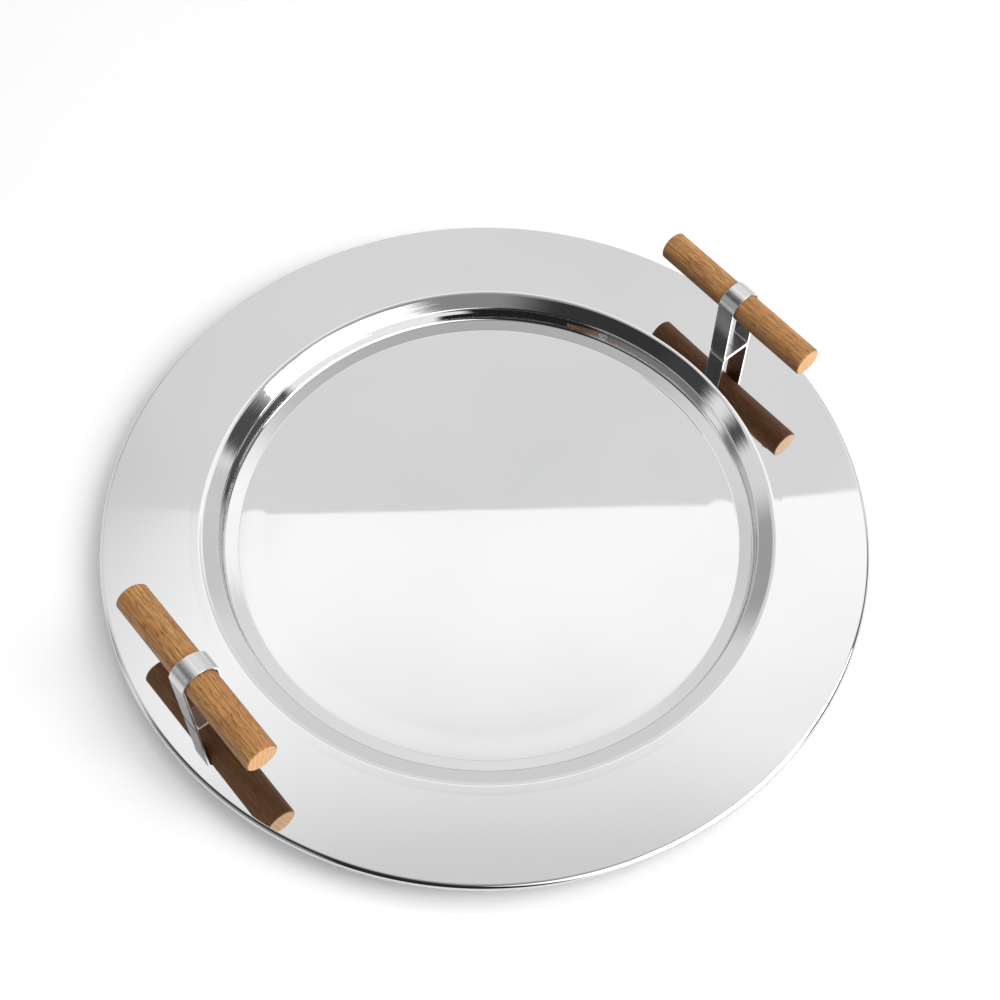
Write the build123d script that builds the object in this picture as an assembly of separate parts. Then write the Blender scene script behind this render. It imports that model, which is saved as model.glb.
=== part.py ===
"""Round serving tray with two wooden grips held in bent metal straps.

Origin: centre of the flat underside of the well. +Z is up, the handles stand on +X and -X,
and both grips run along Y. Millimetres.
"""
from build123d import *
import math
import os

# ---------------------------------------------------------------- driving dimensions
# pressed sheet tray
tray_diameter = 400.0
sheet = 1.0                 # thickness of the stainless sheet
rim_width = 50.5            # from the corner above the well to the edge
floor_ring_width = 7.4      # gently rising ring between the flat floor and the wall
floor_ring_slope = 15.0     # degrees
wall_height = 7.6           # steep wall of the well
wall_lean = 6.0             # degrees off vertical
flare_width = 8.5           # sloping band above the steep wall
flare_slope = 27.5          # degrees
rim_slope = 1.1             # degrees, the rim rises this much towards its edge
edge_straight = 0.2         # upright stretch of the turned-down edge between its two bends
edge_return = 2.6           # how far the edge is folded back underneath
floor_edge_bend = 2.0       # bend radii of the upper surface, from the floor outwards
wall_foot_bend = 2.2
wall_top_bend = 1.6
rim_corner_bend = 6.0
edge_inside_bend = 1.4      # inside the sheet
fold_inside_bend = 0.3

# wooden grips
grip_diameter = 16.5
grip_length = 106.0
grip_height = 39.6          # from the rim to the axis of the grip
grip_end_chamfer = 0.7

# bent straps
foot_from_edge = 24.5       # from the tray's edge to the middle of the strap's foot
strap_width = 11.0
strap_sheet = 1.2
crease_rise = 1.9           # the crease where a leg meets the crown, above the grip's axis
strap_side_gap = 0.6        # free space between the grip and each leg
strap_top_gap = 0.1         # glue line between the grip and the crown
foot_inside_bend = 0.7
crease_inside_bend = 0.5
seam_gap = 0.4              # the two ends of the strip meet here, in the middle of the foot

# locating pin welded inside the crown
pin_diameter = 3.0
pin_depth = 6.0             # how far it reaches into the grip
pin_hole_gap = 0.05         # all round the pin, and under it

# fasteners under the rim, M4
stud_diameter = 4.0
stud_hole_gap = 0.25        # all round the stud in the rim
stud_tail = 1.6             # thread past the nut
stud_chamfer = 0.5
washer_diameter = 9.0
washer_thickness = 0.8
washer_spacing = 1.0        # free space between the two washers of a handle
nut_width = 7.0             # across flats
nut_height = 3.2
thread_gap = 0.03           # all round the stud in the washer and the nut
nut_chamfer = 0.35
seat_gap = 0.01             # the flat foot and washer on the slightly conical rim

# how far cutting shapes reach past what they cut, and how near two heights count as one
cut_past = 2.0
same_height = 1e-6

# ---------------------------------------------------------------- worked-out sizes
tray_radius = tray_diameter / 2
grip_radius = grip_diameter / 2
foot_radius = tray_radius - foot_from_edge
stud_offset = (washer_diameter + washer_spacing) / 2
strap_half = grip_radius + strap_side_gap + strap_sheet
leg_height = grip_height + crease_rise
crown_top = grip_height + grip_radius + strap_top_gap + strap_sheet


def tan(degrees):
    return math.tan(math.radians(degrees))


# corners of the upper surface of the pressed sheet, before its bends are rounded
floor_radius = tray_radius - rim_width - flare_width - wall_height * tan(wall_lean) - floor_ring_width
ring_end = (floor_radius + floor_ring_width, sheet + floor_ring_width * tan(floor_ring_slope))
wall_end = (ring_end[0] + wall_height * tan(wall_lean), ring_end[1] + wall_height)
rim_start = (wall_end[0] + flare_width, wall_end[1] + flare_width * tan(flare_slope))


def rim_level(radius):
    """Height of the rim's upper surface at a radius."""
    return rim_start[1] + (radius - rim_start[0]) * tan(rim_slope)


edge_bend = edge_inside_bend + sheet
fold_bend = fold_inside_bend + sheet
edge_height = edge_bend * tan((90 + rim_slope) / 2) + edge_straight + fold_bend
edge_level = rim_level(tray_radius) - edge_height


def sheet_corners():
    """Corners of the upper surface, from the centre to the folded edge."""
    return [
        Vector(0, sheet),
        Vector(floor_radius, sheet),
        Vector(*ring_end),
        Vector(*wall_end),
        Vector(*rim_start),
        Vector(tray_radius, rim_level(tray_radius)),
        Vector(tray_radius, edge_level),
        Vector(tray_radius - edge_return, edge_level),
    ]


def other_face(corners, bends):
    """Corners and bend radii of the same sheet's other face, one sheet thickness to the right."""
    runs = [(b - a).normalized() for a, b in zip(corners, corners[1:])]
    rights = [Vector(run.Y, -run.X) for run in runs]
    moved = [corners[0] + rights[0] * sheet]
    radii = []
    for corner, bend, before, after in zip(corners[1:-1], bends, rights, rights[1:]):
        moved.append(corner + (before + after) * (sheet / (1 + before.dot(after))))
        turns_left = before.cross(after).Z > 0
        radii.append(bend + sheet if turns_left else bend - sheet)
    moved.append(corners[-1] + rights[-1] * sheet)
    return moved, radii


def foot_frame(side):
    """Frame on the rim under a strap: X outwards along the rim, Z square to it. Side is +1 or -1."""
    turn = 0 if side > 0 else 180
    seat = Pos(foot_radius, 0, rim_level(foot_radius) + seat_gap)
    return Rot(0, 0, turn) * seat * Rot(0, -rim_slope, 0)


def stud_places():
    """The two stud axes in the frame of a foot: nearer to the well, then nearer to the edge."""
    return {"inner": -stud_offset, "outer": stud_offset}


def tray_pan():
    """The pressed tray: well, wall, rim and folded edge in one sheet, with the stud holes."""
    bends = [floor_edge_bend, wall_foot_bend, wall_top_bend, rim_corner_bend, edge_bend, fold_bend]
    upper = sheet_corners()
    under, under_bends = other_face(upper, bends)
    outline = FilletPolyline(*upper, radius=bends) + FilletPolyline(*under, radius=under_bends)
    outline += [Line(upper[0], under[0]), Line(upper[-1], under[-1])]
    section = make_face(outline.edges())
    pan = revolve(Plane.XZ * section, axis=Axis.Z, revolution_arc=360)
    for side in (1, -1):
        for x in stud_places().values():
            hole = Cylinder(stud_diameter / 2 + stud_hole_gap, 2 * (sheet + cut_past))
            pan -= foot_frame(side) * Pos(x, 0, 0) * hole
    return pan


def strap_outline():
    """Outer outline of the closed strap: flat foot, two upright legs and the arched crown."""
    side = Polyline((-strap_half, leg_height), (-strap_half, 0), (strap_half, 0), (strap_half, leg_height))
    crown = ThreePointArc((strap_half, leg_height), (0, crown_top), (-strap_half, leg_height))
    outline = make_face(side.edges() + crown.edges())
    low = outline.vertices().group_by(Axis.Y)[0]
    outline = fillet(low, foot_inside_bend + strap_sheet)
    high = [v for v in outline.vertices() if abs(v.Y - leg_height) < same_height]
    return fillet(high, crease_inside_bend + strap_sheet)


def strap_inside():
    """Space inside the strap, along its whole width."""
    inside = offset(strap_outline(), amount=-strap_sheet)
    return extrude(Plane.XZ * inside, amount=strap_width / 2, both=True)


def handle_strap():
    """Strip bent round the grip, its two ends meeting in the middle of the foot."""
    block = extrude(Plane.XZ * strap_outline(), amount=strap_width / 2, both=True)
    seam = Box(seam_gap, strap_width + cut_past, 2 * (strap_sheet + cut_past))
    return block - strap_inside() - seam


def pin_hole_bottom():
    return grip_height + grip_radius - pin_depth - pin_hole_gap


def wood_grip():
    """Turned dowel with a blind hole in its top for the locating pin."""
    dowel = Pos(0, 0, grip_height) * Rot(90, 0, 0) * Cylinder(grip_radius, grip_length)
    dowel = chamfer(dowel.edges().filter_by(GeomType.CIRCLE), grip_end_chamfer)
    length = crown_top - pin_hole_bottom()
    hole = Cylinder(pin_diameter / 2 + pin_hole_gap, length)
    return dowel - Pos(0, 0, pin_hole_bottom() + length / 2) * hole


def grip_pin():
    """Short pin from the inside of the crown into the grip, its head shaped to the crown."""
    bottom = pin_hole_bottom() + pin_hole_gap
    length = crown_top - bottom
    return Pos(0, 0, bottom + length / 2) * Cylinder(pin_diameter / 2, length) & strap_inside()


def foot_stud():
    """Weld stud under one end of the strip."""
    length = seat_gap + sheet + washer_thickness + nut_height + stud_tail
    stud = Cylinder(stud_diameter / 2, length, align=(Align.CENTER, Align.CENTER, Align.MAX))
    return chamfer(stud.edges().group_by(Axis.Z)[0], stud_chamfer)


def foot_washer():
    """Plain washer against the underside of the rim."""
    top = -(2 * seat_gap + sheet)
    disc = Cylinder(washer_diameter / 2, washer_thickness)
    ring = disc - Cylinder(stud_diameter / 2 + thread_gap, washer_thickness + cut_past)
    return Pos(0, 0, top - washer_thickness / 2) * ring


def foot_nut():
    """Hexagon nut under the washer."""
    top = -(2 * seat_gap + sheet + washer_thickness)
    corner_radius = nut_width / 2 / math.cos(math.pi / 6)
    blank = extrude(RegularPolygon(corner_radius, 6), amount=-nut_height)
    turned = Cylinder(corner_radius, nut_height, align=(Align.CENTER, Align.CENTER, Align.MAX))
    turned = chamfer(turned.edges().filter_by(GeomType.CIRCLE), nut_chamfer)
    bore = Cylinder(stud_diameter / 2 + thread_gap, 2 * (nut_height + cut_past))
    return Pos(0, 0, top) * ((blank & turned) - bore)


def handle(name, side):
    """All the pieces of one handle, by node name."""
    frame = foot_frame(side)
    pieces = {
        f"{name}_handle_strap": frame * handle_strap(),
        f"{name}_wood_grip": frame * wood_grip(),
        f"{name}_grip_pin": frame * grip_pin(),
    }
    for place, x in stud_places().items():
        pieces[f"{name}_{place}_stud"] = frame * Pos(x, 0, 0) * foot_stud()
        pieces[f"{name}_{place}_washer"] = frame * Pos(x, 0, 0) * foot_washer()
        pieces[f"{name}_{place}_nut"] = frame * Pos(x, 0, 0) * foot_nut()
    return pieces


def main():
    nodes = {"tray_pan": tray_pan()}
    nodes.update(handle("right", 1))
    nodes.update(handle("left", -1))
    os.makedirs("parts", exist_ok=True)
    for name, shape in nodes.items():
        export_step(shape, f"parts/{name}.step")


main()
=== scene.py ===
"""Round serving tray in polished steel with two wooden grips in bent straps, on a plain pale table.

The tray stands at the origin, +Z is up, the handles stand on +X and -X, and the grips run along Y.
"""

import math

import bmesh
import bpy
from mathutils import Matrix, Vector


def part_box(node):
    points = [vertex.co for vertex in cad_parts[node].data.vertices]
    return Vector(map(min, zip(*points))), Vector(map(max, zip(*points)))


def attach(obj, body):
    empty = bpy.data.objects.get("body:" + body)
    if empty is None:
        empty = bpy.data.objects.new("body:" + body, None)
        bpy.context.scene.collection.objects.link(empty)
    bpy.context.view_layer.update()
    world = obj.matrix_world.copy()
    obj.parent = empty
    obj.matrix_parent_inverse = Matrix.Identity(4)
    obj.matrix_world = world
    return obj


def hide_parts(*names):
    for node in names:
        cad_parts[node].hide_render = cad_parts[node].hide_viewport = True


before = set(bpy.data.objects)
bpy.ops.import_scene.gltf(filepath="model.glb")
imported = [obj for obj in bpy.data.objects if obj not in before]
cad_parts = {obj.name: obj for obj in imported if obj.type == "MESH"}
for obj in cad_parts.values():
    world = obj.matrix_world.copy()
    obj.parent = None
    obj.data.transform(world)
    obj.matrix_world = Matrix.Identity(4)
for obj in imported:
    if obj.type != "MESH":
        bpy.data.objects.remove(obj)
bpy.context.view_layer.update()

# ---------------------------------------------------------------- sizes, in metres and degrees
# pressed pan
sheet = 0.0010
rim_width = 0.0505
floor_ring_width = 0.0074
floor_ring_slope = 15.0
wall_height = 0.0076
wall_lean = 6.0
flare_width = 0.0085
flare_slope = 27.5
rim_slope = 1.1
edge_straight = 0.0002
edge_return = 0.0026
floor_edge_bend = 0.0020
wall_foot_bend = 0.0022
wall_top_bend = 0.0016
rim_corner_bend = 0.0060
edge_inside_bend = 0.0014
fold_inside_bend = 0.0003
pan_segments = 720

# grips
grip_height = 0.0396
grip_end_easing = 0.0007
grip_segments = 96

# straps
foot_from_edge = 0.0245
strap_width = 0.0110
strap_sheet = 0.0012
crease_rise = 0.0019
strap_side_gap = 0.0006
strap_top_gap = 0.0001
foot_inside_bend = 0.0007
crease_inside_bend = 0.0005
seam_gap = 0.0004
strap_edge_easing = 0.00018
seat_gap = 0.00001

# finishes
sheet_waviness = 1.3e-5             # heights of the steel's unevenness
spinning_depth = 1.5e-5
polishing_depth = 1.2e-7
floor_edge_lift = 9.0e-5            # the flat floor rises a little before its edge
floor_line_depth = 1.2e-5           # the press leaves a fine line where the floor ends
corner_dip = 4.0e-5                 # the rim dips a little beside its inner corner
rim_dish = 0.12                     # how hollow the rim is: times the square of the way from its middle
floor_lift_span = (0.118, 0.1335)   # where these finishes start and end, as radii
floor_line_sides = (0.1321, 0.1327, 0.1328, 0.1334)
spinning_start = (0.131, 0.135)
spinning_end = (0.1485, 0.1515)
corner_dip_span = (0.1492, 0.156)
rim_middle = 0.176
rim_reach = 0.022                   # the hollow stops this far inwards from the middle of the rim
thread_pitch = 0.0007
ring_spacing = 0.0023
heart_of_log = (0.012, 0.0, 0.021)
wood_light = (0.490, 0.262, 0.092)
wood_dark = (0.240, 0.100, 0.029)
wood_red = (0.330, 0.130, 0.038)
wood_fleck = (0.095, 0.036, 0.012)
# painted shade: the dark colour that the downward-facing side of the grips is painted towards
wood_painted_underside_shade = (0.105, 0.033, 0.012)
end_pale = (0.68, 0.40, 0.185)
end_dark = (0.46, 0.235, 0.090)

# picture taking
row_turn = math.radians(46.82)      # the handles' line is turned this far from the camera's right
camera_place = Vector((0.04996, -0.39956, 0.67411))
camera_pitch = math.radians(57.849)
camera_roll = math.radians(6.343)
lens = 52.857
sensor = 36.0
sideways_shift = -0.0887

# lighting; directions are degrees round from the camera's right and up from the table
key_way = (-6.0, 48.0)
key_distance = 1.25
key_size = 0.8
key_power = 9.0
fill_way = (-105.0, 50.0)
fill_distance = 1.6
fill_size = 1.3
fill_power = 3.8
backdrop_level = 0.97
ceiling_turn = 8.8                  # the panels overhead hang this far round from square
panel_edge = 58.45                  # the far wall ends and the overhead panel begins at this angle
panel_edge_blur = 0.0004            # half the width of that edge, in half turns
# brightness against the angle from the far side of the table, up overhead and down behind the camera
wall_levels = ((0, 0.88), (30, 1.02), (38, 1.12), (45, 1.08), (51, 1.03), (70, 1.00))
panel_levels = ((50, 1.44), (60, 1.45), (63, 1.42), (66, 1.30), (67.5, 1.15), (69, 0.98), (72, 0.80),
                (77, 0.70), (82, 0.60), (92, 0.38), (116, 0.33), (130, 0.06), (180, 0.03))
# azimuth, rise, half width, half height, softness, brightness; a later card covers an earlier one.
# The comments say what each card stands for in an imagined room.
room_cards = (
    (175, 30, 48, 42, 6, 1.00),     # pale wall on the left
    (138, 32, 9, 10, 4, 0.50),      # grey cupboard against it
    (124, 53, 4, 4, 1.5, 0.92),     # grey end of the overhead panel
    (53, 33, 10, 9, 4, 0.86),       # grey wall, far right
    (66, 49, 5, 7, 1.5, 1.40),      # side panel, far right
    (42, 42, 4, 4, 2, 0.88),        # its grey frame
    (-145, 58, 24, 20, 5, 0.05),    # dark ceiling, near left
    (-178, 57, 5, 5, 2, 0.07),      # its left end
    (-150, 18, 34, 22, 6, 0.40),    # grey wall, near left
    (-92, 26, 24, 34, 5, 0.03),     # dark behind the camera
    (-171, 19, 5, 9, 3, 1.60),      # small window on the left
    (171, 53, 2, 5, 1.5, 1.10),     # bright gap on the left
    (164, 50, 2, 5, 1.5, 0.10),     # dark post beside it
    (18, 28, 18, 14, 5, 0.15),      # dark furniture on the right
    (-36, 30, 29, 38, 3, 1.90),     # large window, near right
    (-8, 58, 9, 11, 2, 1.90),       # its upper part on the right
    (-30, 66, 9, 6, 2, 1.90),       # and on the left
    (29, 49, 5, 5, 2, 0.10),        # dark post beside the window
)

# worked out
low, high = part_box("right_wood_grip")
grip_length = high.y - low.y
grip_radius = round((high.z - low.z) / 2, 5)
tray_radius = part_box("tray_pan")[1].x
foot_radius = tray_radius - foot_from_edge
strap_half = grip_radius + strap_side_gap + strap_sheet
leg_height = grip_height + crease_rise
crown_top = grip_height + grip_radius + strap_top_gap + strap_sheet


def tan(degrees):
    return math.tan(math.radians(degrees))


# ---------------------------------------------------------------- outlines
def pan_corners():
    """Corners of the pan's upper face, from the centre to the folded edge, as (radius, height)."""
    start = tray_radius - rim_width - flare_width - wall_height * tan(wall_lean) - floor_ring_width
    ring = (start + floor_ring_width, sheet + floor_ring_width * tan(floor_ring_slope))
    wall = (ring[0] + wall_height * tan(wall_lean), ring[1] + wall_height)
    rim = (wall[0] + flare_width, wall[1] + flare_width * tan(flare_slope))
    edge_top = (tray_radius, rim[1] + (tray_radius - rim[0]) * tan(rim_slope))
    edge_bend = edge_inside_bend + sheet
    fold_bend = fold_inside_bend + sheet
    edge_height = edge_bend * tan((90 + rim_slope) / 2) + edge_straight + fold_bend
    edge_foot = edge_top[1] - edge_height
    return [Vector(p) for p in (
        (0, sheet), (start, sheet), ring, wall, rim, edge_top,
        (tray_radius, edge_foot), (tray_radius - edge_return, edge_foot))]


def rim_level(radius):
    rim = pan_corners()[4]
    return rim.y + (radius - rim.x) * tan(rim_slope)


def other_face(corners, bends):
    """Corners and bends of the same sheet's other face, one sheet thickness to the right."""
    runs = [(b - a).normalized() for a, b in zip(corners, corners[1:])]
    rights = [Vector((run.y, -run.x)) for run in runs]
    moved = [corners[0] + rights[0] * sheet]
    radii = []
    for corner, bend, before, after in zip(corners[1:-1], bends, rights, rights[1:]):
        moved.append(corner + (before + after) * (sheet / (1 + before.dot(after))))
        turns_left = before.x * after.y - before.y * after.x > 0
        radii.append(bend + sheet if turns_left else bend - sheet)
    moved.append(corners[-1] + rights[-1] * sheet)
    return moved, radii


def rounded(corners, bends, step=math.radians(3), guard=0.00012):
    """Points along a line of straight runs joined by arcs, with a point close to each end of a run."""
    points = [corners[0]]
    for before, corner, after, bend in zip(corners, corners[1:], corners[2:], bends):
        into = (corner - before).normalized()
        out = (after - corner).normalized()
        turn = math.atan2(into.x * out.y - into.y * out.x, into.dot(out))
        reach = bend * math.tan(abs(turn) / 2)
        side = Vector((-into.y, into.x)) * math.copysign(1, turn)
        first = corner - into * reach
        centre = first + side * bend
        if (first - points[-1]).length > 3 * guard:
            points += [points[-1] + into * guard, first - into * guard]
        count = max(2, math.ceil(abs(turn) / step))
        arm = first - centre
        for i in range(count + 1):
            a = turn * i / count
            spun = Vector((arm.x * math.cos(a) - arm.y * math.sin(a),
                           arm.x * math.sin(a) + arm.y * math.cos(a)))
            points.append(centre + spun)
    points.append(corners[-1])
    return points


# ---------------------------------------------------------------- mesh making
def finish_mesh(name, work, sharp=math.radians(35)):
    """Turns a bmesh into a smooth-shaded object whose corners stay crisp."""
    bmesh.ops.recalc_face_normals(work, faces=work.faces)
    for face in work.faces:
        face.smooth = True
    for edge in work.edges:
        edge.smooth = len(edge.link_faces) == 2 and edge.calc_face_angle(0) < sharp
    mesh = bpy.data.meshes.new(name)
    work.to_mesh(mesh)
    work.free()
    piece = bpy.data.objects.new(name, mesh)
    bpy.context.scene.collection.objects.link(piece)
    return piece


def turned(name, outline, segments, place=Matrix.Identity(4), face_kinds=None):
    """Turns an outline of (radius, height) points round Z. A radius of 0 closes to a point."""
    work = bmesh.new()
    rings = []
    for point in outline:
        if point.x < 1e-9:
            rings.append([work.verts.new(place @ Vector((0, 0, point.y)))])
            continue
        ring = []
        for i in range(segments):
            a = 2 * math.pi * i / segments
            spot = Vector((point.x * math.cos(a), point.x * math.sin(a), point.y))
            ring.append(work.verts.new(place @ spot))
        rings.append(ring)
    for row, (a, b) in enumerate(zip(rings, rings[1:])):
        for i in range(segments):
            j = (i + 1) % segments
            corners = [a[i % len(a)], a[j % len(a)], b[j % len(b)], b[i % len(b)]]
            face = work.faces.new(list(dict.fromkeys(corners)))
            if face_kinds:
                face.material_index = face_kinds[row]
    return finish_mesh(name, work)


def give(piece, *materials):
    piece.data.materials.clear()
    for material in materials:
        piece.data.materials.append(material)


def foot_frame(side):
    """Frame on the rim under a strap: X outwards along the rim, Z square to it."""
    turn = Matrix.Rotation(0 if side > 0 else math.pi, 4, "Z")
    seat = Matrix.Translation((foot_radius, 0, rim_level(foot_radius) + seat_gap))
    return turn @ seat @ Matrix.Rotation(-math.radians(rim_slope), 4, "Y")


def pan(materials):
    """The pressed pan: polished on top and round the edge, satin underneath."""
    bends = [floor_edge_bend, wall_foot_bend, wall_top_bend, rim_corner_bend,
             edge_inside_bend + sheet, fold_inside_bend + sheet]
    upper = pan_corners()
    under, under_bends = other_face(upper, bends)
    top = rounded(upper, bends)
    below = rounded(under, under_bends)[::-1]
    kinds = [0] * len(top) + [1] * (len(below) - 1)
    piece = turned("pan", top + below, pan_segments, face_kinds=kinds)
    give(piece, *materials)
    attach(piece, "root")
    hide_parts("tray_pan")
    return piece


def arc(centre, radius, start, end, step=math.radians(4)):
    """Points on an arc with their outward directions, angles in radians."""
    count = max(2, math.ceil(abs(end - start) / step))
    out = []
    for i in range(count + 1):
        a = start + (end - start) * i / count
        way = Vector((math.cos(a), math.sin(a)))
        out.append((Vector(centre) + way * radius, way))
    return out


def strap_line():
    """The strap's outer face from mid-foot to the top of the crown: points and outward ways."""
    foot_bend = foot_inside_bend + strap_sheet
    crease_bend = crease_inside_bend + strap_sheet
    rise = crown_top - leg_height
    crown_radius = (strap_half ** 2 + rise ** 2) / (2 * rise)
    crown_centre = Vector((0, crown_top - crown_radius))
    inset = strap_half - crease_bend
    crease_rise_in_crown = math.sqrt((crown_radius - crease_bend) ** 2 - inset ** 2)
    crease_centre = Vector((inset, crown_centre.y + crease_rise_in_crown))
    lean = math.atan2(crease_centre.y - crown_centre.y, inset)
    line = [(Vector((seam_gap / 2, 0)), Vector((0, -1)))]
    line += arc((strap_half - foot_bend, foot_bend), foot_bend, -math.pi / 2, 0)
    line += arc(crease_centre, crease_bend, 0, lean)
    line += arc(crown_centre, crown_radius, lean, math.pi / 2, math.radians(2.5))[1:]
    return line


def guarded(line, guard=0.0001):
    """Adds a point close to both ends of every straight run, so that shading stays flat on it."""
    out = [line[0]]
    for (a, way_a), (b, way_b) in zip(line, line[1:]):
        run = b - a
        if run.length > 8 * guard and (way_a - way_b).length < 1e-6:
            step = run.normalized() * guard
            out += [(a + step, way_a), (b - step, way_b)]
        out.append((b, way_b))
    return out


def strip_section():
    """Cross-section of the strip as (depth from the outer face, place across), with eased edges."""
    e = strap_edge_easing
    half = strap_width / 2
    guard = 0.0001
    corners = [((e, half - e), 180, 90), ((strap_sheet - e, half - e), 90, 0),
               ((strap_sheet - e, e - half), 0, -90), ((e, e - half), -90, -180)]
    points = []
    for (depth, across), start, end in corners:
        for i in range(5):
            a = math.radians(start + (end - start) * i / 4)
            points.append(Vector((depth + e * math.cos(a), across + e * math.sin(a))))
    out = []
    for a, b in zip(points, points[1:] + points[:1]):
        out.append(a)
        if (b - a).length > 6 * guard:
            step = (b - a).normalized() * guard
            out += [a + step, b - step]
    return out


def strap(name, side, materials):
    """Strip of sheet bent into a closed loop: brushed outside; its inner face is rougher, as rolled, and
    painted pale as painted light inside the loop.
    """
    half = guarded(strap_line())
    other = [(Vector((-p.x, p.y)), Vector((-w.x, w.y))) for p, w in half[-2::-1]]
    place = foot_frame(side)
    section = strip_section()
    work = bmesh.new()
    rings = []
    for point, way in half + other:
        ring = []
        for spot in section:
            flat = point - way * spot.x
            ring.append(work.verts.new(place @ Vector((flat.x, spot.y, flat.y))))
        rings.append(ring)
    for a, b in zip(rings, rings[1:]):
        for i in range(len(section)):
            j = (i + 1) % len(section)
            face = work.faces.new([a[i], a[j], b[j], b[i]])
            face.material_index = 1 if min(section[i].x, section[j].x) > strap_sheet - 1e-6 else 0
    work.faces.new(rings[0])
    work.faces.new(rings[-1][::-1])
    piece = finish_mesh(f"{name}_strap", work)
    give(piece, *materials)
    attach(piece, "root")
    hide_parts(f"{name}_handle_strap")
    return piece


def grip(name, side, material):
    """Turned dowel with eased ends."""
    half = grip_length / 2
    e = grip_end_easing
    corners = [Vector(p) for p in ((0, -half), (grip_radius - e, -half), (grip_radius, e - half),
                                   (grip_radius, half - e), (grip_radius - e, half), (0, half))]
    outline = rounded(corners, [0.0004] * 4, step=math.radians(9), guard=0.0002)
    place = foot_frame(side) @ Matrix.Translation((0, 0, grip_height)) @ Matrix.Rotation(-math.pi / 2, 4, "X")
    piece = turned(f"{name}_grip", outline, grip_segments, place)
    give(piece, material)
    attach(piece, "root")
    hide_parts(f"{name}_wood_grip")
    return piece


# ---------------------------------------------------------------- materials
def node(tree, kind, values=None, **settings):
    """Adds a node, sets its options, and sets or wires its inputs."""
    made = tree.nodes.new(kind)
    for key, value in settings.items():
        setattr(made, key, value)
    for key, value in (values or {}).items():
        if isinstance(value, bpy.types.NodeSocket):
            tree.links.new(value, made.inputs[key])
        else:
            made.inputs[key].default_value = value
    return made


def maths(tree, operation, a, b=0.0, c=0.0):
    return node(tree, "ShaderNodeMath", {0: a, 1: b, 2: c}, operation=operation).outputs[0]


def new_material(name):
    material = bpy.data.materials.new(name)
    material.use_nodes = True
    tree = material.node_tree
    shader = tree.nodes["Principled BSDF"]
    return material, tree, shader


def shared_effect(name, inputs, outputs):
    """Starts a node group with named sockets. Inputs and outputs are (name, kind) pairs."""
    group = bpy.data.node_groups.new(name, "ShaderNodeTree")
    for way_in, sockets in (("INPUT", inputs), ("OUTPUT", outputs)):
        for title, kind in sockets:
            group.interface.new_socket(title, in_out=way_in, socket_type=f"NodeSocket{kind}")
    return group, group.nodes.new("NodeGroupInput").outputs


def use(tree, group, **values):
    """Places a shared effect in a material with its own values."""
    placed = node(tree, "ShaderNodeGroup", node_tree=group)
    for key, value in values.items():
        socket = placed.inputs[key.replace("_", " ")]
        if isinstance(value, bpy.types.NodeSocket):
            tree.links.new(value, socket)
        else:
            socket.default_value = value
    return placed.outputs


def vector_maths(tree, operation, a, b=(0, 0, 0), result="Vector"):
    return node(tree, "ShaderNodeVectorMath", {0: a, 1: b}, operation=operation).outputs[result]


def noise(tree, place, scale, detail=2.0, rough=0.5):
    return node(tree, "ShaderNodeTexNoise",
                {"Vector": place, "Scale": scale, "Detail": detail, "Roughness": rough}).outputs[0]


def spread(tree, value, low, high, to_low=0.0, to_high=1.0):
    """Maps low..high onto to_low..to_high, smoothly and without running past either end."""
    return node(tree, "ShaderNodeMapRange",
                {"Value": value, "From Min": low, "From Max": high, "To Min": to_low, "To Max": to_high},
                interpolation_type="SMOOTHSTEP").outputs["Result"]


def own_place(tree):
    return tree.nodes.new("ShaderNodeTexCoord").outputs["Object"]


def two_colours(tree, amount, first, second):
    mix = node(tree, "ShaderNodeMix", data_type="RGBA")
    for socket, value in ((mix.inputs[0], amount), (mix.inputs[6], first), (mix.inputs[7], second)):
        if isinstance(value, bpy.types.NodeSocket):
            tree.links.new(value, socket)
        else:
            socket.default_value = (*value, 1) if isinstance(value, tuple) else value
    return mix.outputs[2]


def raise_surface(tree, shader, height):
    """Feeds a height in metres to a material's normal."""
    bump = node(tree, "ShaderNodeBump", {"Strength": 1.0, "Distance": 1.0, "Height": height})
    tree.links.new(bump.outputs["Normal"], shader.inputs["Normal"])


def spun_place_effect():
    """Place on a spun surface: the way out from the centre in X and Y, and the radius in Z."""
    group, given = shared_effect("spun_place", [("Place", "Vector")],
                                 [("Spun", "Vector"), ("Radius", "Float")])
    flat = vector_maths(group, "MULTIPLY", given["Place"], (1, 1, 0))
    radius = vector_maths(group, "LENGTH", flat, result="Value")
    outward = vector_maths(group, "NORMALIZE", flat)
    lift = node(group, "ShaderNodeCombineXYZ", {"Z": radius}).outputs[0]
    node(group, "NodeGroupOutput", {"Spun": vector_maths(group, "ADD", outward, lift), "Radius": radius})
    return group


def fine_lines_effect():
    """Fine parallel lines left by polishing or brushing: stretched noise, about 0 on average."""
    group, given = shared_effect("fine_lines", [("Place", "Vector"), ("Lines Per Metre", "Vector")],
                                 [("Lines", "Float")])
    stretched = vector_maths(group, "MULTIPLY", given["Place"], given["Lines Per Metre"])
    coarse = noise(group, stretched, 1.0, 3.0, 0.65)
    fine = noise(group, stretched, 3.3, 1.0)
    both = maths(group, "MULTIPLY_ADD", fine, 0.5, coarse)
    node(group, "NodeGroupOutput", {"Lines": maths(group, "SUBTRACT", both, 0.75)})
    return group


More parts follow.
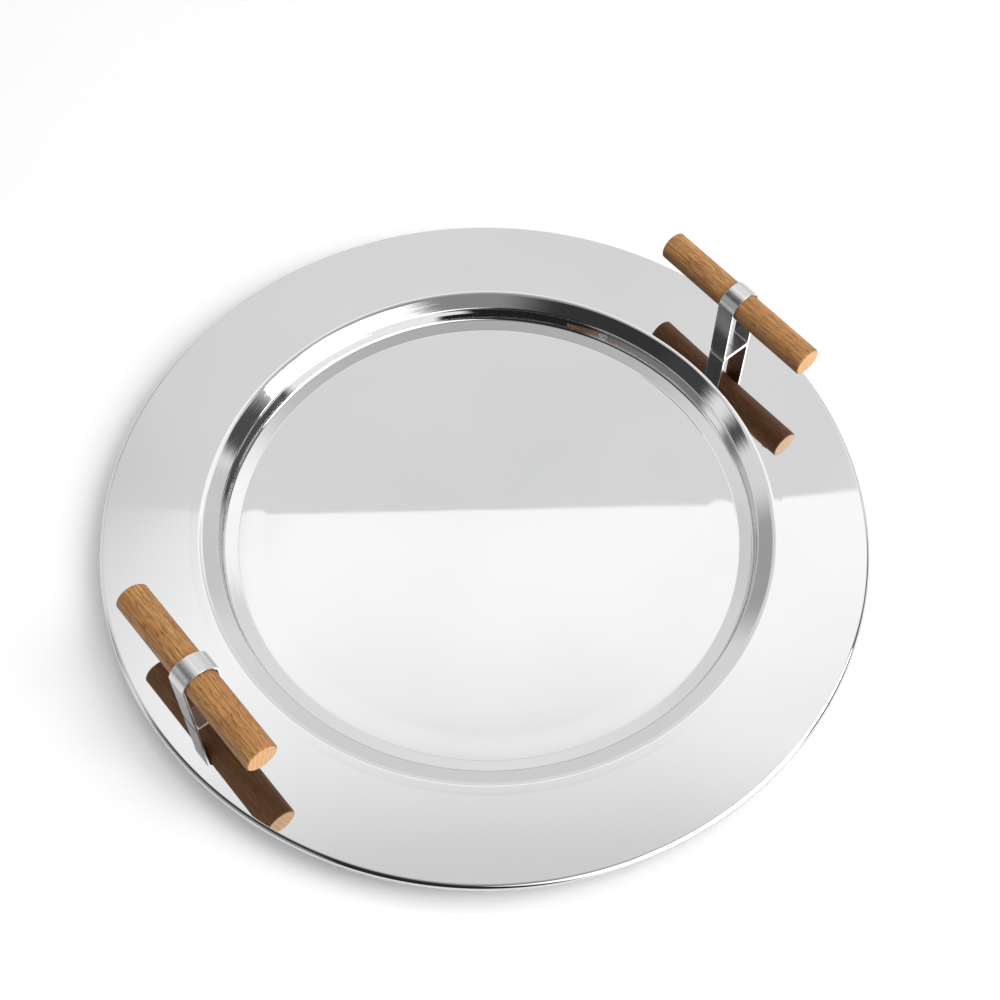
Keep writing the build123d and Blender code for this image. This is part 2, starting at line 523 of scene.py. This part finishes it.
def handling_marks_effect():
    """Soft smears from wiping and a few hairline scratches, each from 0 to 1."""
    group, given = shared_effect("handling_marks", [("Place", "Vector"), ("Smears Per Metre", "Float")],
                                 [("Smears", "Float"), ("Scratches", "Float")])
    drift = noise(group, given["Place"], given["Smears Per Metre"], 3.0, 0.6)
    smears = spread(group, drift, 0.42, 0.72)
    hairlines = []
    for turn, stretch in ((0.5, (30, 2600, 30)), (2.0, (24, 3100, 24)), (2.9, (36, 2300, 36))):
        turned_place = node(group, "ShaderNodeVectorRotate", {"Vector": given["Place"], "Angle": turn},
                            rotation_type="Z_AXIS").outputs[0]
        thin = noise(group, vector_maths(group, "MULTIPLY", turned_place, stretch), 1.0, 0.0)
        hairlines.append(spread(group, thin, 0.80, 0.88))
    scratches = maths(group, "MAXIMUM", maths(group, "MAXIMUM", hairlines[0], hairlines[1]), hairlines[2])
    node(group, "NodeGroupOutput", {"Smears": smears, "Scratches": scratches})
    return group


def polished_steel():
    """Mirror-polished stainless sheet: slightly wavy, with spinning marks in the wall of the well."""
    material, tree, shader = new_material("polished_steel")
    place = own_place(tree)
    marks = use(tree, handling_marks, Place=place, Smears_Per_Metre=16.0)
    spun = use(tree, spun_place, Place=place)
    tint = noise(tree, place, 9.0, 2.0)
    colour = two_colours(tree, spread(tree, tint, 0.3, 0.7), (0.625, 0.628, 0.630), (0.650, 0.652, 0.650))
    tree.links.new(colour, shader.inputs["Base Color"])
    shader.inputs["Metallic"].default_value = 1.0
    rough = maths(tree, "MULTIPLY_ADD", marks["Smears"], 0.016, 0.012)
    rough = maths(tree, "MULTIPLY_ADD", marks["Scratches"], 0.05, rough)
    radius = spun["Radius"]
    wall = maths(tree, "MULTIPLY", spread(tree, radius, *spinning_start),
                 spread(tree, radius, *spinning_end, 1.0, 0.0))
    rough = maths(tree, "MULTIPLY_ADD", wall, 0.03, rough)
    tree.links.new(rough, shader.inputs["Roughness"])
    waves = noise(tree, place, 17.0, 1.0)
    spin = use(tree, fine_lines, Place=spun["Spun"], Lines_Per_Metre=(5.0, 5.0, 700.0))["Lines"]
    polish = use(tree, fine_lines, Place=spun["Spun"], Lines_Per_Metre=(9.0, 9.0, 2600.0))["Lines"]
    height = maths(tree, "MULTIPLY", waves, sheet_waviness)
    height = maths(tree, "MULTIPLY_ADD", maths(tree, "MULTIPLY", spin, wall), spinning_depth, height)
    height = maths(tree, "MULTIPLY_ADD", polish, polishing_depth, height)
    height = maths(tree, "ADD", height, spread(tree, radius, *floor_lift_span, 0.0, floor_edge_lift))
    height = maths(tree, "ADD", height, spread(tree, radius, *corner_dip_span, 0.0, -corner_dip))
    groove = maths(tree, "MULTIPLY", spread(tree, radius, *floor_line_sides[:2]),
                   spread(tree, radius, *floor_line_sides[2:], 1.0, 0.0))
    height = maths(tree, "MULTIPLY_ADD", groove, -floor_line_depth, height)
    from_middle = maths(tree, "MAXIMUM", maths(tree, "SUBTRACT", radius, rim_middle), -rim_reach)
    height = maths(tree, "MULTIPLY_ADD", maths(tree, "MULTIPLY", from_middle, from_middle), rim_dish, height)
    raise_surface(tree, shader, height)
    return material


def satin_underside():
    """Unpolished back of the sheet, with the lathe's fine rings."""
    material, tree, shader = new_material("satin_underside")
    place = own_place(tree)
    spun = use(tree, spun_place, Place=place)
    marks = use(tree, handling_marks, Place=place, Smears_Per_Metre=24.0)
    rings = use(tree, fine_lines, Place=spun["Spun"], Lines_Per_Metre=(6.0, 6.0, 2400.0))["Lines"]
    tint = maths(tree, "MULTIPLY_ADD", rings, 0.8, 0.5)
    colour = two_colours(tree, tint, (0.50, 0.50, 0.505), (0.62, 0.62, 0.615))
    tree.links.new(colour, shader.inputs["Base Color"])
    shader.inputs["Metallic"].default_value = 1.0
    rough = maths(tree, "MULTIPLY_ADD", marks["Smears"], 0.10, 0.27)
    tree.links.new(maths(tree, "MULTIPLY_ADD", marks["Scratches"], 0.10, rough), shader.inputs["Roughness"])
    raise_surface(tree, shader, maths(tree, "MULTIPLY", rings, 2.0e-5))
    return material


def strap_steel(name, roughness, darker, lighter):
    """Stainless strip with fine lines, in the given roughness and pair of colours."""
    material, tree, shader = new_material(name)
    place = own_place(tree)
    marks = use(tree, handling_marks, Place=place, Smears_Per_Metre=70.0)
    lines = use(tree, fine_lines, Place=place, Lines_Per_Metre=(40.0, 3200.0, 40.0))["Lines"]
    tint = maths(tree, "MULTIPLY_ADD", lines, 1.6, 0.5)
    tree.links.new(two_colours(tree, tint, darker, lighter), shader.inputs["Base Color"])
    shader.inputs["Metallic"].default_value = 1.0
    rough = maths(tree, "MULTIPLY_ADD", marks["Smears"], 0.05, roughness)
    tree.links.new(maths(tree, "MULTIPLY_ADD", lines, 0.10, rough), shader.inputs["Roughness"])
    raise_surface(tree, shader, maths(tree, "MULTIPLY", lines, 4.0e-6))
    return material


def fixing_steel(name, pitch=0.0):
    """Zinc-plated steel of the small fixings, with a thread of the given pitch where there is one."""
    material, tree, shader = new_material(name)
    place = own_place(tree)
    marks = use(tree, handling_marks, Place=place, Smears_Per_Metre=260.0)
    lines = use(tree, fine_lines, Place=place, Lines_Per_Metre=(1500.0, 1500.0, 2500.0))["Lines"]
    colour = two_colours(tree, marks["Smears"], (0.52, 0.53, 0.56), (0.63, 0.62, 0.59))
    tree.links.new(colour, shader.inputs["Base Color"])
    shader.inputs["Metallic"].default_value = 1.0
    tree.links.new(maths(tree, "MULTIPLY_ADD", marks["Smears"], 0.12, 0.26), shader.inputs["Roughness"])
    height = maths(tree, "MULTIPLY", lines, 1.2e-5)
    if pitch:
        up = node(tree, "ShaderNodeSeparateXYZ", {"Vector": place}).outputs["Z"]
        turns = maths(tree, "PINGPONG", maths(tree, "DIVIDE", up, pitch), 0.5)
        height = maths(tree, "MULTIPLY_ADD", turns, pitch * 0.6, height)
    raise_surface(tree, shader, height)
    return material


def oiled_beech():
    """Oiled beech turned with the grain along Y: growth rings, fibres and short dark flecks.

    Its end grain is paler, and its underside is darkened with painted shade: the colour darkens as the
    surface turns to face down.
    """
    material, tree, shader = new_material("oiled_beech")
    place = own_place(tree)
    sway = noise(tree, vector_maths(tree, "MULTIPLY", place, (60, 14, 60)), 1.0, 2.0)
    moved = vector_maths(tree, "ADD", place,
                         node(tree, "ShaderNodeCombineXYZ",
                              {"X": maths(tree, "MULTIPLY", sway, 0.006),
                               "Z": maths(tree, "MULTIPLY", sway, 0.009)}).outputs[0])
    across = vector_maths(tree, "MULTIPLY", vector_maths(tree, "SUBTRACT", moved, heart_of_log), (1, 0, 1))
    from_heart = vector_maths(tree, "LENGTH", across, result="Value")
    ring = maths(tree, "FRACT", maths(tree, "DIVIDE", from_heart, ring_spacing))
    late_wood = maths(tree, "MULTIPLY", spread(tree, ring, 0.25, 0.88),
                      spread(tree, ring, 0.90, 1.0, 1.0, 0.0))
    fibres = noise(tree, vector_maths(tree, "MULTIPLY", place, (1500, 65, 1500)), 1.0, 3.0, 0.62)
    fleck = noise(tree, vector_maths(tree, "MULTIPLY", place, (2300, 240, 2300)), 1.0, 1.0)
    flecks = spread(tree, fleck, 0.58, 0.68)
    bands = noise(tree, vector_maths(tree, "MULTIPLY", place, (190, 12, 190)), 1.0, 2.0)
    side = two_colours(tree, spread(tree, fibres, 0.34, 0.64), wood_dark, wood_light)
    side = two_colours(tree, maths(tree, "MULTIPLY", late_wood, 0.45), side, wood_dark)
    side = two_colours(tree, spread(tree, bands, 0.45, 0.75, 0.0, 0.45), side, wood_red)
    side = two_colours(tree, maths(tree, "MULTIPLY", flecks, 0.75), side, wood_fleck)
    facing = node(tree, "ShaderNodeSeparateXYZ",
                  {"Vector": tree.nodes.new("ShaderNodeTexCoord").outputs["Normal"]}).outputs
    end = spread(tree, maths(tree, "ABSOLUTE", facing["Y"]), 0.80, 0.97)
    # painted shade: darkens the side grain as the surface turns to face down, most underneath and not at all
    # on top
    side = two_colours(tree, spread(tree, facing["Z"], -0.55, 0.70, 0.70, 0.0), side, wood_painted_underside_shade)
    pores = spread(tree, noise(tree, place, 2600.0, 1.0), 0.56, 0.68)
    end_grain = two_colours(tree, maths(tree, "MULTIPLY", late_wood, 0.5), end_pale, end_dark)
    end_grain = two_colours(tree, maths(tree, "MULTIPLY", pores, 0.35), end_grain, wood_dark)
    tree.links.new(two_colours(tree, end, side, end_grain), shader.inputs["Base Color"])
    marks = use(tree, handling_marks, Place=place, Smears_Per_Metre=45.0)
    rough = maths(tree, "MULTIPLY_ADD", marks["Smears"], -0.10, 0.52)
    tree.links.new(maths(tree, "MULTIPLY_ADD", flecks, 0.15, rough), shader.inputs["Roughness"])
    shader.inputs["Specular IOR Level"].default_value = 0.35
    dips = maths(tree, "MULTIPLY_ADD", flecks, -5.0e-5, maths(tree, "MULTIPLY", fibres, 4.0e-5))
    raise_surface(tree, shader, dips)
    return material


def table_top():
    """Matt white laminate."""
    material, tree, shader = new_material("table_top")
    place = own_place(tree)
    tint = spread(tree, noise(tree, place, 3.0, 3.0), 0.3, 0.7)
    colour = two_colours(tree, tint, (0.88, 0.885, 0.885), (0.90, 0.90, 0.90))
    tree.links.new(colour, shader.inputs["Base Color"])
    shader.inputs["Roughness"].default_value = 0.6
    raise_surface(tree, shader, maths(tree, "MULTIPLY", noise(tree, place, 900.0, 1.0), 2.0e-5))
    return material


spun_place = spun_place_effect()
fine_lines = fine_lines_effect()
handling_marks = handling_marks_effect()
polished = polished_steel()
satin_under = satin_underside()
strap_outside = strap_steel("strap_steel", 0.20, (0.60, 0.60, 0.605), (0.68, 0.68, 0.675))
# painted light: the inner face's pale, slightly blue colours stand in for light inside the loop and offset
# the brown bounced from the wood; its higher roughness is the rolled finish
strap_inside_painted_pale = strap_steel("strap_rolled_face_painted_pale", 0.48, (0.84, 0.85, 0.86), (0.92, 0.93, 0.94))
wood_finish = oiled_beech()
plated = fixing_steel("plated_steel")
threaded = fixing_steel("threaded_steel", thread_pitch)
laminate = table_top()


# ---------------------------------------------------------------- the tray
pan((polished, satin_under))
for name, side in (("right", 1), ("left", -1)):
    strap(name, side, (strap_outside, strap_inside_painted_pale))
    grip(name, side, wood_finish)
for node_name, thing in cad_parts.items():
    if node_name.endswith(("stud", "washer", "nut", "pin")):
        give(thing, threaded if node_name.endswith("stud") else plated)


# ---------------------------------------------------------------- table, light and camera
def table():
    work = bmesh.new()
    bmesh.ops.create_circle(work, cap_ends=True, radius=8.0, segments=96)
    piece = finish_mesh("table", work)
    give(piece, laminate)


def way(azimuth, rise):
    """Direction seen from the tray, in degrees from the camera's right and up from the table."""
    turn = math.radians(azimuth) - row_turn
    lift = math.radians(rise)
    return Vector((math.cos(lift) * math.cos(turn), math.cos(lift) * math.sin(turn), math.sin(lift)))


def card_group():
    """Mask of a soft-edged rectangular card hung round the tray, seen along a ray."""
    group, given = shared_effect(
        "soft_card", [("Ray", "Vector"), ("Middle", "Vector"), ("Across", "Vector"), ("Upward", "Vector"),
                      ("Half Width", "Float"), ("Half Height", "Float"), ("Softness", "Float")],
        [("Mask", "Float")])
    facing = vector_maths(group, "DOT_PRODUCT", given["Ray"], given["Middle"], "Value")
    sides = []
    for axis, half in (("Across", "Half Width"), ("Upward", "Half Height")):
        along = vector_maths(group, "DOT_PRODUCT", given["Ray"], given[axis], "Value")
        in_front = maths(group, "MAXIMUM", facing, 0.001)
        place = maths(group, "ABSOLUTE", maths(group, "DIVIDE", along, in_front))
        inner = maths(group, "SUBTRACT", given[half], given["Softness"])
        outer = maths(group, "ADD", given[half], given["Softness"])
        sides.append(spread(group, place, inner, outer, 1.0, 0.0))
    inside = maths(group, "MULTIPLY", *sides)
    mask = maths(group, "MULTIPLY", inside, maths(group, "GREATER_THAN", facing, 0.0))
    node(group, "NodeGroupOutput", {"Mask": mask})
    return group


def level_ramp(tree, sweep, levels):
    """Brightness from a list of (angle in degrees, level), read at an angle given in half turns."""
    ramp = node(tree, "ShaderNodeValToRGB", {"Fac": sweep})
    stops = ramp.color_ramp.elements
    stops.remove(stops[-1])
    for i, (degrees, level) in enumerate(levels):
        stop = stops[0] if i == 0 else stops.new(degrees / 180)
        stop.position = degrees / 180
        stop.color = (level / 2, level / 2, level / 2, 1)
    return maths(tree, "MULTIPLY", ramp.outputs["Color"], 2.0)


def room():
    """Studio round the tray: pale walls, a bright panel overhead and darker cards behind the camera."""
    world = bpy.data.worlds.new("room")
    bpy.context.scene.world = world
    world.use_nodes = True
    tree = world.node_tree
    ray = tree.nodes.new("ShaderNodeTexCoord").outputs["Generated"]
    beyond = vector_maths(tree, "DOT_PRODUCT", ray, way(90 + ceiling_turn, 0), "Value")
    above = vector_maths(tree, "DOT_PRODUCT", ray, (0, 0, 1), "Value")
    sweep = maths(tree, "DIVIDE", maths(tree, "ARCTAN2", above, beyond), math.pi)
    wall = level_ramp(tree, sweep, wall_levels)
    panel = level_ramp(tree, sweep, panel_levels)
    edge = panel_edge / 180
    over = spread(tree, sweep, edge - panel_edge_blur, edge + panel_edge_blur)
    level = maths(tree, "MULTIPLY_ADD", over, maths(tree, "SUBTRACT", panel, wall), wall)
    cards = card_group()
    for azimuth, rise, half_width, half_height, softness, brightness in room_cards:
        middle = way(azimuth, rise)
        across = way(azimuth + 90, 0)
        card = use(tree, cards, Ray=ray, Middle=middle, Across=across, Upward=middle.cross(across),
                   Half_Width=tan(half_width), Half_Height=tan(half_height), Softness=tan(softness))
        level = maths(tree, "MULTIPLY_ADD", card["Mask"], maths(tree, "SUBTRACT", brightness, level), level)
    looks = tree.nodes.new("ShaderNodeLightPath").outputs["Is Camera Ray"]
    level = maths(tree, "MULTIPLY_ADD", looks, maths(tree, "SUBTRACT", backdrop_level, level), level)
    background = tree.nodes["Background"]
    tree.links.new(level, background.inputs["Strength"])
    background.inputs["Color"].default_value = (1, 1, 1, 1)


def soft_light(name, towards, distance, size, power, mirrored):
    """Square light that looks at the tray from a distance; the steel mirrors it or not."""
    data = bpy.data.lights.new(name, "AREA")
    data.size = size
    data.energy = power
    light = bpy.data.objects.new(name, data)
    bpy.context.scene.collection.objects.link(light)
    light.location = towards * distance
    light.rotation_euler = towards.to_track_quat("Z", "Y").to_euler()
    light.visible_glossy = mirrored


def camera():
    data = bpy.data.cameras.new("camera")
    data.lens = lens
    data.sensor_width = sensor
    data.shift_x = sideways_shift
    thing = bpy.data.objects.new("camera", data)
    bpy.context.scene.collection.objects.link(thing)
    right = Vector((1, 0, 0))
    ahead = Vector((0, math.cos(camera_pitch), -math.sin(camera_pitch)))
    up = right.cross(ahead)
    right, up = (right * math.cos(camera_roll) + up * math.sin(camera_roll),
                 up * math.cos(camera_roll) - right * math.sin(camera_roll))
    axes = Matrix((right, up, -ahead)).transposed().to_4x4()
    turn = Matrix.Rotation(-row_turn, 4, "Z")
    thing.matrix_world = turn @ Matrix.Translation(camera_place) @ axes
    bpy.context.scene.camera = thing


table()
room()
soft_light("key_light", way(*key_way), key_distance, key_size, key_power, True)
soft_light("fill_light", way(*fill_way), fill_distance, fill_size, fill_power, False)
camera()
bpy.context.scene.view_settings.view_transform = "Standard"
